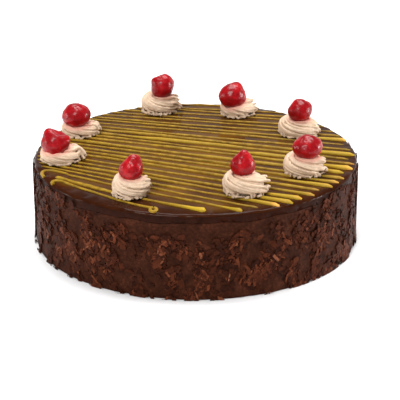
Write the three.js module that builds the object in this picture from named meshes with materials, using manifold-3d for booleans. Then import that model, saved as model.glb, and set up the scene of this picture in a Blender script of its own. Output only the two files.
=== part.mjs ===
// A round chocolate tres leches cake: a soaked sponge drum whose side is covered with chocolate
// shavings, a poured chocolate glaze over the top with runs of yellow icing piped across it, and
// eight piped cream rosettes near the rim, each holding a glazed cherry.
// Millimetres, +Z up, origin at the centre of the underside. -Y is the front.
import * as THREE from "three";
import { mergeVertices } from "three/addons/utils/BufferGeometryUtils.js";
import Module from "manifold-3d";

const wasm = await Module();
wasm.setup();

// ---- Driving dimensions ----

const DRUM_RADIUS = 122.3; // sponge and frosting, where the glaze wraps over its shoulder
const FOOT_SPREAD = 3.2; // how far the soaked sponge settles outwards at its foot
const DRUM_HEIGHT = 62.7;
const CAKE_HEIGHT = 66; // up to the top of the glaze
const ROUND_STEPS = 72; // facets round the drum and the glaze
const GAP = 0.3; // clearance between two pieces that touch

const GLAZE_RADIUS = 125;
const GLAZE_ROUNDING = 2.6; // rounding of the glaze over the cake's rim
const GLAZE_SKIRT = 7; // how far the glaze runs down the side
const SKIRT_WAVE = 0.9; // the uneven lower edge of the skirt
const COAT_HEIGHT = CAKE_HEIGHT - GLAZE_SKIRT - SKIRT_WAVE - GAP; // the side below the skirt

const SHAVING_ROWS = 8;
const SHAVINGS_PER_ROW = 32;
const SHAVING = { length: 18, width: 6, lift: 2.5, root: 1, slant: 32 }; // slant in degrees
const SHAVING_SEED = 11;
const SHARD_BASE = { width: Math.sqrt(3), length: 1.5 }; // of a three-sided cone of radius 1

const ICING_RUNS = 27; // runs of the icing, piped to and fro and trimmed at the rim
const ICING_FIRST = -106; // the front run's distance from the middle, to the front
const ICING_LAST = 117.5; // the last run's, to the back
const ICING_DIRECTION = -19.5; // degrees from +X of a run through the middle
const ICING_FAN = 0.09; // degrees that the runs turn for each millimetre to the back
const ICING_WIDTH = 2.5;
const ICING_HEIGHT = 1.3; // how far a run stands up from the glaze
const ICING_BOW = 1.4; // how far a run wanders from a straight line
const ICING_UNEVENNESS = 0.12; // of the spacing, as a share of it
const ICING_STEPS = 4;
const ICING_REACH = 122.2; // where a run ends, at the rim

const ROSETTE_ROWS = 11; // alternately the crests and the grooves of the cream's spiral ridges
const ROSETTE_STEPS = 14;
const ROSETTE_RIDGE = 0.11; // depth of a ridge as a share of the piped rope
const ROSETTE_ROPE = 0.47; // half the rope's width as a share of the rosette's radius
const ROSETTE_FOOT = 1.05; // the foot's width and the crown's, as shares of the width
const ROSETTE_CROWN = 0.92;
const ROSETTE_START = -65; // degrees round the rope's section, from its foot outside ...
const ROSETTE_END = 140; // ... over its crown to the hollow inside
const TAIL_RIDGES = 5; // along the tail of the rope, each from the nozzle's star
const TAIL_RIDGE = 0.16; // depth of a ridge as a share of the tail
const TAIL_TAPER = 0.35; // how far the tail narrows to its end
const TAIL_TWIST = 0.5; // radians
const CHERRY_TAPER = 0.42; // how far the top of a fully drawn out cherry narrows

// Each rosette with its cherry: the angle from +X in degrees and the distance from the middle;
// the cream's width without its tail, its height, how far it rises behind the cherry as a share of
// that, the length of its tail and the degrees that it is turned by; the cherry's width and
// height, how far it is drawn out to a point (0 to 1), how deep it is pressed in, its shift from
// the rosette's middle, and its lean in degrees to a side.
const TOPPINGS = [
  {
    angle: -118.6, ring: 99.8, cream: { width: 25, height: 15.8, rise: 0.16, tail: 3, turn: 5 },
    cherry: { width: 18.8, height: 20, drawn: 0.8, sink: 4.3, shift: [1.6, -0.5], lean: 5, to: 20 },
  },
  {
    angle: -66.6, ring: 89, cream: { width: 31, height: 15.8, rise: 0.02, tail: 4, turn: -6 },
    cherry: { width: 18.8, height: 21, drawn: 0.95, sink: 3.5, shift: [-1.2, -1], lean: 7, to: 20 },
  },
  {
    angle: -26.7, ring: 91.5, cream: { width: 31, height: 14.8, rise: 0.08, tail: 3, turn: -12 },
    cherry: { width: 22.8, height: 18, drawn: 0.15, sink: 2.9, shift: [1.8, -2], lean: 4, to: 180 },
  },
  {
    angle: 29.1, ring: 94.4, cream: { width: 31.5, height: 14.2, rise: 0.1, tail: 1.5, turn: -8 },
    cherry: { width: 20, height: 18.4, drawn: 0.25, sink: 2.8, shift: [0.7, -3], lean: 14, to: 150 },
  },
  {
    angle: 69.9, ring: 101.6, cream: { width: 28, height: 13, rise: 0.1, tail: 2, turn: 18 },
    cherry: { width: 22.6, height: 22.4, drawn: 0.45, sink: 6.3, shift: [-4.5, -5], lean: 16, to: 20 },
  },
  {
    angle: 106.6, ring: 107.4, cream: { width: 28.5, height: 15.5, rise: 0.13, tail: 6, turn: 0 },
    cherry: { width: 19.7, height: 22, drawn: 0.25, sink: 4, shift: [3.2, -2], lean: 12, to: 10 },
  },
  {
    angle: 153.8, ring: 103.8, cream: { width: 28, height: 12, rise: 0.1, tail: 4, turn: 14 },
    cherry: { width: 23.6, height: 19.4, drawn: 0.1, sink: 4, shift: [-1.6, -5], lean: 10, to: 200 },
  },
  {
    angle: -171.7, ring: 105.1, cream: { width: 29, height: 12, rise: 0.1, tail: 7.5, turn: 26 },
    cherry: { width: 22.8, height: 21.4, drawn: 0.5, sink: 6.6, shift: [-2.9, -3], lean: 18, to: 185 },
  },
];

const COLOURS = {
  cake: 0x3a1d12,
  glaze: 0x4a2c1c,
  cream: 0xe6cfae,
  cherry: 0xb5121b,
};

// ---- Small helpers ----

const radians = THREE.MathUtils.degToRad;

// A repeatable draw between two values.
function between(low, high) {
  return low + (high - low) * THREE.MathUtils.seededRandom();
}

// A closed three.js geometry as a manifold-3d solid.
function solidOf(geometry) {
  const bare = geometry.clone();
  bare.deleteAttribute("normal");
  bare.deleteAttribute("uv");
  const merged = mergeVertices(bare, 1e-4);
  const corners = Array.from(merged.index.array);
  // A triangle with two corners in one place has closed up and goes.
  const open = corners.filter((_, i) => {
    const [a, b, c] = corners.slice(i - (i % 3), i - (i % 3) + 3);
    return a !== b && b !== c && c !== a;
  });
  return new wasm.Manifold(
    new wasm.Mesh({
      numProp: 3,
      vertProperties: new Float32Array(merged.attributes.position.array),
      triVerts: new Uint32Array(open),
    }),
  );
}

// A manifold-3d solid as a flat-shaded three.js geometry.
function geometryOf(solid) {
  const mesh = solid.getMesh();
  const geometry = new THREE.BufferGeometry();
  geometry.setAttribute("position", new THREE.BufferAttribute(mesh.vertProperties, 3));
  geometry.setIndex(new THREE.BufferAttribute(mesh.triVerts, 1));
  const flat = geometry.toNonIndexed();
  flat.computeVertexNormals();
  return flat;
}

// The largest connected body of a solid, without the scraps that a cut can leave.
function largestBody(solid) {
  return solid.decompose().reduce((best, body) => (body.volume() > best.volume() ? body : best));
}

// Moves each vertex of a geometry by move(point, index), which changes the point in place.
function reshape(geometry, move) {
  const position = geometry.getAttribute("position");
  const point = new THREE.Vector3();
  for (let i = 0; i < position.count; i++) {
    move(point.fromBufferAttribute(position, i), i);
    position.setXYZ(i, point.x, point.y, point.z);
  }
  return geometry;
}

// A body turned round the Z axis from its outline, given from the axis at the foot to the axis
// at the top as [radius, height].
function turned(outline, steps) {
  const points = outline.map(([radius, height]) => new THREE.Vector2(radius, height));
  return new THREE.LatheGeometry(points, steps).rotateX(Math.PI / 2);
}

function meshOf(name, geometry, colour, roughness) {
  const material = new THREE.MeshStandardMaterial({ color: colour, roughness, metalness: 0 });
  const mesh = new THREE.Mesh(geometry, material);
  mesh.name = name;
  return mesh;
}

// ---- Cake: the drum with its chocolate shavings ----

// The drum's radius at a height, from the glaze's skirt out to the foot.
function drumRadiusAt(height) {
  return DRUM_RADIUS + FOOT_SPREAD * (1 - height / COAT_HEIGHT);
}

function drum() {
  return turned(
    [
      [0, 0],
      [drumRadiusAt(0), 0],
      [DRUM_RADIUS, COAT_HEIGHT],
      [DRUM_RADIUS, DRUM_HEIGHT],
      [0, DRUM_HEIGHT],
    ],
    ROUND_STEPS,
  );
}

// One shaving: a slanting shard lying roughly upright on the drum, one edge pressed in and the
// other lifted.
function shaving(row, place) {
  const length = SHAVING.length * between(0.75, 1.15);
  const width = SHAVING.width * between(0.7, 1.2);
  const lift = SHAVING.lift * between(0.6, 1.1);
  const skew = between(0.3, 0.9) * (between(0, 1) < 0.5 ? -1 : 1);
  // A three-sided cone, its base let into the drum and its tip drawn aside to make the edge.
  const shard = new THREE.ConeGeometry(1, 1, 3);
  shard.rotateZ(-Math.PI / 2).rotateX(between(0, 1) < 0.5 ? 0 : Math.PI);
  reshape(shard, (point) => {
    const up = point.x + 0.5;
    const across = (point.y + up * skew) * (width / SHARD_BASE.width);
    point.set(up * (lift + SHAVING.root) - SHAVING.root, across, point.z * (length / SHARD_BASE.length));
  });
  const turn = (place + 0.5 * (row % 2) + between(-0.3, 0.3)) / SHAVINGS_PER_ROW;
  const angle = 2 * Math.PI * turn;
  const height = ((row + 0.5 + between(-0.25, 0.25)) / SHAVING_ROWS) * COAT_HEIGHT;
  shard.rotateX(radians(between(-SHAVING.slant, SHAVING.slant)));
  shard.translate(drumRadiusAt(height), 0, height).rotateZ(angle);
  return solidOf(shard);
}

function cake() {
  THREE.MathUtils.seededRandom(SHAVING_SEED);
  const shavings = [];
  for (let row = 0; row < SHAVING_ROWS; row++) {
    for (let place = 0; place < SHAVINGS_PER_ROW; place++) shavings.push(shaving(row, place));
  }
  // The shavings stop at the table and just under the glaze.
  const band = solidOf(
    turned([[0, 0], [2 * DRUM_RADIUS, 0], [2 * DRUM_RADIUS, COAT_HEIGHT], [0, COAT_HEIGHT]], 4),
  );
  const coat = wasm.Manifold.union(shavings).intersect(band);
  return largestBody(solidOf(drum()).add(coat));
}

// ---- Glaze: a poured cap over the drum, with the piped icing on it ----

function glazeCap() {
  const under = DRUM_HEIGHT + GAP;
  const inner = DRUM_RADIUS + GAP;
  const skirtFoot = CAKE_HEIGHT - GLAZE_SKIRT;
  const rounding = [0, 30, 60, 90].map(radians).map((turn) => [
    GLAZE_RADIUS - GLAZE_ROUNDING * (1 - Math.cos(turn)),
    CAKE_HEIGHT - GLAZE_ROUNDING * (1 - Math.sin(turn)),
  ]);
  const cap = turned(
    [
      [0, under],
      [inner, under],
      [inner, skirtFoot],
      [GLAZE_RADIUS - 0.8, skirtFoot],
      ...rounding,
      [0, CAKE_HEIGHT],
    ],
    ROUND_STEPS,
  );
  return reshape(cap, (point) => {
    const angle = Math.atan2(point.y, point.x);
    if (point.z < skirtFoot + 0.1) point.z += SKIRT_WAVE * Math.sin(5 * angle) * Math.cos(7 * angle + 1);
  });
}

// The plan of one run as a function of the share of its length, from the left.
function icingRun(run) {
  const pitch = (ICING_LAST - ICING_FIRST) / (ICING_RUNS - 1);
  const offset = ICING_FIRST + pitch * (run + ICING_UNEVENNESS * Math.sin(5 * run));
  const direction = radians(ICING_DIRECTION + ICING_FAN * offset);
  const along = new THREE.Vector2(Math.cos(direction), Math.sin(direction));
  const across = new THREE.Vector2(-along.y, along.x);
  const half = Math.sqrt(ICING_REACH ** 2 - offset ** 2);
  return (share) => {
    const bow = ICING_BOW * Math.sin(Math.PI * share) * Math.sin(4 * share + 2.4 * run);
    return along.clone().multiplyScalar((2 * share - 1) * half).addScaledVector(across, offset + bow);
  };
}

// A bead of icing along a run: five sides, the lowest sunk in the glaze, and a fuller end.
function bead(run) {
  const path = icingRun(run);
  return reshape(new THREE.CylinderGeometry(1, 1, 1, 5, ICING_STEPS), (point) => {
    const share = (1 - Math.cos(Math.PI * (point.y + 0.5))) / 2; // steps closer at the ends
    const at = path(share);
    const heading = path(share + 0.01).sub(path(share - 0.01)).normalize();
    const full = 1 + 0.2 * Math.sin(1.7 * run) + 0.35 * share ** 8;
    const side = -point.x * (ICING_WIDTH / 2) * full;
    const rise = point.z * ICING_HEIGHT * full;
    point.set(at.x - heading.y * side, at.y + heading.x * side, CAKE_HEIGHT + rise);
  });
}

function icing() {
  const runs = Array.from({ length: ICING_RUNS }, (_, run) => solidOf(bead(run)));
  return wasm.Manifold.union(runs);
}

// ---- Rosettes and cherries ----

// The place of a topping in plan.
function toppingPlace({ angle, ring }) {
  return new THREE.Vector2(Math.cos(radians(angle)), Math.sin(radians(angle))).multiplyScalar(ring);
}

// The ring of piped rope that a rosette is, cut through on one side: the distance from the
// rosette's middle and the height, from the foot (0) over the crown and down to the middle (1).
function rosetteOutline({ width, height }, along, ridge) {
  const rope = (width / 2) * ROSETTE_ROPE;
  const ring = width / 2 - rope;
  const inner = 0.85; // where the rope's inner side gives way to the filled middle
  const turn = radians(
    THREE.MathUtils.lerp(ROSETTE_START, ROSETTE_END, Math.min(along / inner, 1)),
  );
  const sunk = Math.max(along - inner, 0) / (1 - inner);
  const rise = (height / 2) * (1 + ridge * Math.sin(turn)) * (1 - 0.15 * sunk);
  const share = THREE.MathUtils.lerp(ROSETTE_FOOT, ROSETTE_CROWN, rise / height);
  const radius = (ring + rope * ridge * Math.cos(turn)) * share * (1 - sunk);
  return [radius, along === 0 ? 0 : Math.max(rise, 0.2)];
}

// A rosette piped with a star nozzle. The rows of the turned body are the crests and grooves,
// and each row climbs by two rows in one turn, so that it meets the next ridge: one spiral.
function rosetteGeometry(cream) {
  const points = ROSETTE_ROWS + 4; // the foot's middle, the rows and two rows of climb
  const blank = Array.from({ length: points }, (_, row) => new THREE.Vector2(1, row));
  return reshape(new THREE.LatheGeometry(blank, ROSETTE_STEPS), (point, index) => {
    const row = (index % points) - 1;
    const turn = Math.floor(index / points) / ROSETTE_STEPS;
    if (row < 0) {
      point.set(0, 0, 0);
      return;
    }
    const along = THREE.MathUtils.clamp((row - 2 * turn) / ROSETTE_ROWS, 0, 1);
    const depth = ROSETTE_RIDGE * Math.min(1, 6 * along, 5 * (1 - along));
    const [radius, height] = rosetteOutline(cream, along, 1 + (row % 2 ? depth : -depth));
    const angle = 2 * Math.PI * turn;
    const back = (radius * Math.sin(angle)) / (cream.width / 2);
    point.set(radius * Math.cos(angle), back * (cream.width / 2), height * (1 + cream.rise * back));
  });
}

// The tail of the rope, lying on the glaze at the rosette's front and pointing right, with the
// star section that the nozzle gives it.
function tailGeometry({ width, height, tail }) {
  const rope = (width / 2) * ROSETTE_ROPE;
  const sides = 2 * TAIL_RIDGES;
  const length = width / 2 + tail;
  return reshape(new THREE.CylinderGeometry(1, 1, 1, sides, 1), (point) => {
    const share = point.y + 0.5;
    const turn = Math.atan2(point.z, point.x);
    const crest = Math.round((turn / (2 * Math.PI)) * sides) % 2 ? -1 : 1;
    const reach = Math.hypot(point.x, point.z) * (1 + TAIL_RIDGE * crest) * (1 - TAIL_TAPER * share);
    const wound = turn + TAIL_TWIST * share;
    point.set(
      share * length + 0.2 * rope * reach * Math.sin(wound),
      -rope * (1.1 - TAIL_TAPER * share + reach * Math.cos(wound)),
      0.42 * height * (1 - 0.3 * share + reach * Math.sin(wound)),
    );
  });
}

// A cherry about its own middle: a ball, drawn out to a soft point at the top.
function cherryGeometry({ width, height, drawn, lean, to }) {
  const ball = new THREE.SphereGeometry(0.5, 12, 8).rotateX(Math.PI / 2);
  reshape(ball, (place) => {
    const up = place.z + 0.5;
    const slim = 1 - CHERRY_TAPER * drawn * up * up;
    place.set(place.x * slim * width, place.y * slim * width, place.z * height);
  });
  const axis = new THREE.Vector3(-Math.sin(radians(to)), Math.cos(radians(to)), 0);
  return ball.applyMatrix4(new THREE.Matrix4().makeRotationAxis(axis, radians(lean)));
}

// The cherry as a solid in its place, grown by a clearance all over.
function cherrySolid({ cream, cherry, ...place }, clearance) {
  const grown = { ...cherry, width: cherry.width + 2 * clearance, height: cherry.height + 2 * clearance };
  const middle = toppingPlace(place);
  const height = CAKE_HEIGHT + GAP + cream.height - cherry.sink + cherry.height / 2;
  const [right, back] = cherry.shift;
  return solidOf(cherryGeometry(grown)).translate([middle.x + right, middle.y + back, height]);
}

function rosetteSolid(topping) {
  const { cream } = topping;
  const middle = toppingPlace(topping);
  // The tail's foot is flat too, where it rests on the glaze.
  const room = 4 * cream.width;
  const above = solidOf(new THREE.BoxGeometry(room, room, room).translate(0, 0, room / 2));
  return largestBody(
    solidOf(rosetteGeometry(cream))
      .add(solidOf(tailGeometry(cream)).intersect(above))
      .rotate([0, 0, cream.turn])
      .translate([middle.x, middle.y, CAKE_HEIGHT + GAP])
      .subtract(cherrySolid(topping, GAP)),
  );
}

// The room that the icing leaves for a rosette: round it and under its tail.
function rosetteFootprint(topping) {
  const { width, tail, turn } = topping.cream;
  const middle = toppingPlace(topping);
  const radius = (width / 2) * ROSETTE_FOOT * (1 + ROSETTE_RIDGE / 2) + GAP;
  const depth = 4 * ICING_HEIGHT;
  const round = new THREE.CylinderGeometry(radius, radius, depth, 20).rotateX(Math.PI / 2);
  const straight = new THREE.BoxGeometry(radius + tail, radius, depth);
  straight.translate((radius + tail) / 2, -radius / 2, 0);
  return solidOf(round)
    .add(solidOf(straight))
    .rotate([0, 0, turn])
    .translate([middle.x, middle.y, CAKE_HEIGHT]);
}

// ---- Assembly ----

const group = new THREE.Group();

group.add(meshOf("cake", geometryOf(cake()), COLOURS.cake, 0.55));

const bareIcing = icing().subtract(wasm.Manifold.union(TOPPINGS.map(rosetteFootprint)));
group.add(
  meshOf("glaze", geometryOf(largestBody(solidOf(glazeCap()).add(bareIcing))), COLOURS.glaze, 0.2),
);

TOPPINGS.forEach((topping, index) => {
  const number = index + 1;
  group.add(meshOf(`rosette_${number}`, geometryOf(rosetteSolid(topping)), COLOURS.cream, 0.6));
  const cherry = geometryOf(cherrySolid(topping, 0));
  group.add(meshOf(`cherry_${number}`, cherry, COLOURS.cherry, 0.12));
});

export default group;
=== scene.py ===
"""The looks of a whole round chocolate cake, built round its CAD frame in metres, +Z up.

From the bottom up: the frosted sponge and the chocolate shavings on its side, the poured glaze
and the yellow icing piped across it, the cream rosettes, their cherries, and last the studio.
"""

import math

import bmesh
import bpy
import numpy as np
from mathutils import Matrix, Vector, noise


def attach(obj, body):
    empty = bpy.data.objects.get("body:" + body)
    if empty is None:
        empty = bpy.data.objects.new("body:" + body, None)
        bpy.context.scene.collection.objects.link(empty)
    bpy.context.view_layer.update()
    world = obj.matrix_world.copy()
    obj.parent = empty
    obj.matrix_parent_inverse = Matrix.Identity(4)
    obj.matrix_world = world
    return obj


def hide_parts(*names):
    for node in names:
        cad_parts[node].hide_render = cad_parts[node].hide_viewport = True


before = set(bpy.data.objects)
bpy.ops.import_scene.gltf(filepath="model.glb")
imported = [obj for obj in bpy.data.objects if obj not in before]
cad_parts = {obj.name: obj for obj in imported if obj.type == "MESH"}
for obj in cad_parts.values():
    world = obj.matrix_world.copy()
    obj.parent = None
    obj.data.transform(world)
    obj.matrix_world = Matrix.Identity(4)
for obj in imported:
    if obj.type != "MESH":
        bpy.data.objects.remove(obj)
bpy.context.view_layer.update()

MM = 0.001

# ---- Frosted sponge -----------------------------------------------------------------------------
# A drum of milk-soaked sponge under a coat of dark chocolate frosting, spread with a palette
# knife. It has settled a little wider at its foot, and the frosting shows between the shavings.

SPONGE_RADIUS = 124.5
SPONGE_FOOT = 0.8  # how much wider it is at the foot
SPONGE_HEIGHT = 62.8
FOOT_ROUNDING = 1.2
SHOULDER = 58.85  # where it steps in under the glaze ...
SHOULDER_RADIUS = 122.2  # ... to this radius
SHOULDER_STEP = 0.15  # the height that the step takes
SHOULDER_WAVE = 0.9  # how far its level wanders ...
WAVE_REACH = 4  # ... and how far above and below it the frosting follows
FROSTING_ROWS = 26


def start(name, add, **sizes):
    """Adds a primitive with nothing else selected, and names it."""
    bpy.ops.object.select_all(action="DESELECT")
    add(**sizes)
    piece = bpy.context.object
    piece.name = piece.data.name = name
    return piece


def alone(piece):
    """Selects one piece and makes it the active one."""
    bpy.ops.object.select_all(action="DESELECT")
    piece.select_set(True)
    bpy.context.view_layer.objects.active = piece


def pick(piece, kind, test):
    """In edit mode, selects the VERT, EDGE or FACE parts of a piece that pass a test."""
    modes = ("VERT", "EDGE", "FACE")
    bpy.context.tool_settings.mesh_select_mode = [kind == mode for mode in modes]
    bpy.ops.mesh.select_all(action="DESELECT")
    form = bmesh.from_edit_mesh(piece.data)
    for part in {"VERT": form.verts, "EDGE": form.edges, "FACE": form.faces}[kind]:
        if test(part):
            part.select_set(True)
    bmesh.update_edit_mesh(piece.data)


def cut_through(point, normal):
    """In edit mode, cuts everything with a plane."""
    bpy.ops.mesh.select_all(action="SELECT")
    bpy.ops.mesh.bisect(plane_co=point, plane_no=normal)


def close_up(piece, smooth=True):
    """Ends the editing: the place goes into the mesh and the modifiers are applied."""
    if bpy.context.mode == "EDIT_MESH":
        bpy.ops.object.mode_set(mode="OBJECT")
    alone(piece)
    bpy.ops.object.transform_apply(location=True, rotation=True, scale=True)
    for modifier in list(piece.modifiers):
        bpy.ops.object.modifier_apply(modifier=modifier.name)
    if smooth:
        bpy.ops.object.shade_smooth()


def lumps(piece, name, size, depth):
    """Gives a piece soft lumps of a size and a depth, in millimetres."""
    texture = bpy.data.textures.new(name, "CLOUDS")
    texture.noise_scale = size * MM
    texture.noise_depth = 2
    modifier = piece.modifiers.new(name, "DISPLACE")
    modifier.texture = texture
    modifier.strength = depth * MM
    modifier.mid_level = 0.5
    return modifier


def food_material(name, colour, **sockets):
    """A new material with plain values on its shader's own sockets."""
    material = bpy.data.materials.new(name)
    material.use_nodes = True
    tree = material.node_tree
    shader = tree.nodes["Principled BSDF"]
    shader.inputs["Base Color"].default_value = (*colour, 1)
    for socket, value in sockets.items():
        shader.inputs[socket.replace("_", " ")].default_value = value
    return material, tree, shader


def unevenness_group():
    """Soft patches with a finer grain in them, as food has all over: a mask and a height."""
    group = bpy.data.node_groups.new("unevenness", "ShaderNodeTree")
    for name, value in (("Patch Scale", 100), ("Grain Scale", 800), ("Grain Share", 0.3)):
        socket = group.interface.new_socket(name, in_out="INPUT", socket_type="NodeSocketFloat")
        socket.default_value = value
    for name in ("Mask", "Height"):
        group.interface.new_socket(name, in_out="OUTPUT", socket_type="NodeSocketFloat")
    nodes, links = group.nodes, group.links
    given, out = nodes.new("NodeGroupInput"), nodes.new("NodeGroupOutput")
    place = nodes.new("ShaderNodeTexCoord")
    mixed = nodes.new("ShaderNodeMix")
    links.new(given.outputs["Grain Share"], mixed.inputs["Factor"])
    for scale, side in (("Patch Scale", "A"), ("Grain Scale", "B")):
        pattern = nodes.new("ShaderNodeTexNoise")
        pattern.inputs["Detail"].default_value = 3
        links.new(place.outputs["Object"], pattern.inputs["Vector"])
        links.new(given.outputs[scale], pattern.inputs["Scale"])
        links.new(pattern.outputs["Fac"], mixed.inputs[side])
    contrast = nodes.new("ShaderNodeMapRange")
    contrast.inputs["From Min"].default_value = 0.3
    contrast.inputs["From Max"].default_value = 0.7
    links.new(mixed.outputs["Result"], contrast.inputs["Value"])
    links.new(contrast.outputs["Result"], out.inputs["Mask"])
    links.new(mixed.outputs["Result"], out.inputs["Height"])
    return group


UNEVENNESS = unevenness_group()


def uneven(tree, patch, grain, share):
    """Places the unevenness group with its own values; scales are in bumps for each metre."""
    node = tree.nodes.new("ShaderNodeGroup")
    node.node_tree = UNEVENNESS
    for name, value in (("Patch Scale", patch), ("Grain Scale", grain), ("Grain Share", share)):
        node.inputs[name].default_value = value
    return node


def colour_ramp(tree, mask, stops):
    """Colours for a mask, from stops of (place, colour)."""
    ramp = tree.nodes.new("ShaderNodeValToRGB")
    elements = ramp.color_ramp.elements
    while len(elements) < len(stops):
        elements.new(0.5)
    for element, (place, colour) in zip(elements, stops):
        element.position = place
        element.color = (*colour, 1)
    tree.links.new(mask, ramp.inputs["Fac"])
    return ramp.outputs["Color"]


def value_range(tree, mask, low, high):
    """Values from low to high for a mask."""
    node = tree.nodes.new("ShaderNodeMapRange")
    node.inputs["To Min"].default_value = low
    node.inputs["To Max"].default_value = high
    tree.links.new(mask, node.inputs["Value"])
    return node.outputs["Result"]


def bump(tree, shader, height, depth):
    """Relief from a height, with its depth in millimetres."""
    node = tree.nodes.new("ShaderNodeBump")
    node.inputs["Distance"].default_value = depth * MM
    tree.links.new(height, node.inputs["Height"])
    tree.links.new(node.outputs["Normal"], shader.inputs["Normal"])


def pour_line(x, y):
    """How far above its mean level the glaze's lower edge is at a place, in metres."""
    around = math.atan2(y, x)
    wave = math.sin(5 * around) * math.cos(7 * around + 1) + 0.5 * math.sin(23 * around + 2)
    return SHOULDER_WAVE * wave * MM


def hand_over(piece, material, node):
    """Gives a finished piece its material and its place in the frame."""
    piece.data.materials.clear()
    piece.data.materials.append(material)
    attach(piece, "root")
    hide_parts(node)


sponge = start(
    "frosted_sponge",
    bpy.ops.mesh.primitive_cylinder_add,
    vertices=240,
    radius=SPONGE_RADIUS * MM,
    depth=SPONGE_HEIGHT * MM,
    location=(0, 0, SPONGE_HEIGHT * MM / 2),
)
bpy.ops.object.transform_apply(location=True)
bpy.ops.object.mode_set(mode="EDIT")
for row in range(1, FROSTING_ROWS):
    cut_through((0, 0, SPONGE_HEIGHT * MM * row / FROSTING_ROWS), (0, 0, 1))
pick(sponge, "FACE", lambda face: face.normal.z < -0.5)
spread = 1 + SPONGE_FOOT / SPONGE_RADIUS
bpy.ops.transform.resize(
    value=(spread, spread, 1),
    center_override=(0, 0, 0),
    use_proportional_edit=True,
    proportional_edit_falloff="SMOOTH",
    proportional_size=SPONGE_HEIGHT * MM * 0.9,
)
bpy.ops.mesh.bevel(offset=FOOT_ROUNDING * MM, segments=3, affect="EDGES")
for cut in (SHOULDER - SHOULDER_STEP, SHOULDER):
    cut_through((0, 0, cut * MM), (0, 0, 1))
pick(sponge, "VERT", lambda corner: corner.co.z > (SHOULDER - SHOULDER_STEP / 3) * MM)
narrow = SHOULDER_RADIUS / SPONGE_RADIUS
bpy.ops.transform.resize(value=(narrow, narrow, 1), center_override=(0, 0, 0))
lumps(sponge, "knife_marks", 16, 1.2)
lumps(sponge, "crumb_under_the_frosting", 4, 0.4)
close_up(sponge)
for corner in sponge.data.vertices:
    x, y, z = corner.co
    near = max(0, 1 - abs(z - SHOULDER * MM) / (WAVE_REACH * MM))
    corner.co.z = max(z + near * pour_line(x, y), 0)

frosting, tree, shader = food_material(
    "chocolate_frosting", (0.03, 0.012, 0.008), Roughness=0.5, Specular_IOR_Level=0.03
)
smears = uneven(tree, 110, 500, 0.45)
stops = [
    (0.0, (0.014, 0.0044, 0.0022)),
    (0.55, (0.036, 0.0102, 0.0048)),
    (1.0, (0.074, 0.0215, 0.0105)),
]
tree.links.new(colour_ramp(tree, smears.outputs["Mask"], stops), shader.inputs["Base Color"])
bump(tree, shader, smears.outputs["Height"], 0.9)
hand_over(sponge, frosting, "cake")

# ---- Chocolate shavings -------------------------------------------------------------------------
# Curls and flakes shaved from a dark chocolate bar, pressed into the soft frosting by the
# handful, and the crumbs that fall from them and catch at the foot.

COAT_TOP = 63.5  # up to the rim
SKIRT_REACH = 125.4  # those above the glaze's lower edge lie on its skirt
OUTERMOST = 126.3  # no shaving reaches further from the axis, but for those at the foot
FOOT_OUTERMOST = 127.1
BARE_BAND = (50, 62)  # above this height, at the front and elsewhere, there are few shavings ...
BARE_FADE = 6  # ... and hardly any this far above it
BARE_FRONT = (30, 55)  # degrees to each side of the front where the bare band ends
CLUSTERS = 11  # clusters to each radian of the side
CLUSTER_STRETCH = 0.06  # the clusters are a little taller than wide
STUCK_DEPTH = 16  # the shavings lie loose once they are this far below the rim
STREWN = 2.4  # how far out, and how far up, they are strewn at the foot
FOOT_DEPTH = 9  # below this height they may reach out further
SHAVINGS = {
    # length, width and thickness in millimetres, bend in degrees along a shaving, how far it
    # leans off the side in degrees, how far from upright it lies, how far proud of the frosting,
    # how much it gathers in clusters, its tone, and its faces along and across.
    "chocolate_flakes": {
        "count": 3900, "length": (2.5, 7), "width": (2, 5), "thick": (0.4, 0.9),
        "bend": (-40, 60), "lean": (-10, 24), "slant": 180, "proud": (-0.1, 1.4), "gather": 0.7,
        "tone": (0, 0.42), "faces": (3, 2),
    },
    "chocolate_curls": {
        "count": 1900, "length": (3, 9), "width": (1, 2.4), "thick": (0.35, 0.6),
        "bend": (60, 260), "lean": (-10, 30), "slant": 60, "proud": (0.5, 1.8), "gather": 1.8,
        "tone": (0.2, 0.9), "faces": (6, 1),
    },
    "chocolate_crumbs": {
        "count": 5200, "length": (0.8, 2.8), "width": (0.7, 2), "thick": (0.5, 1.4),
        "bend": (-10, 10), "lean": (-30, 30), "slant": 180, "proud": (0.1, 1.3), "gather": 1,
        "tone": (0.05, 0.65), "faces": (1, 1),
    },
}


def flat_shaving(name, along, across):
    """One plain shaving of length, width and thickness 1: its corners, and its faces."""
    piece = start(name, bpy.ops.mesh.primitive_plane_add, size=1)
    bpy.ops.object.mode_set(mode="EDIT")
    for count, side in ((along, 0), (across, 1)):
        normal = (1 - side, side, 0)
        for step in range(1, count):
            cut_through(Vector(normal) * (step / count - 0.5), normal)
    solid = piece.modifiers.new("thickness", "SOLIDIFY")
    solid.thickness = 1
    solid.offset = 0
    close_up(piece, smooth=False)
    corners = np.array([corner.co for corner in piece.data.vertices])
    faces = np.array([face.vertices for face in piece.data.polygons])
    bpy.data.objects.remove(piece)
    return corners, faces


def turned_vectors(first, second, angle):
    """Turns pairs of vectors towards each other by an angle for each pair."""
    cos, sin = np.cos(angle)[:, None], np.sin(angle)[:, None]
    return first * cos + second * sin, second * cos - first * sin


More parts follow.
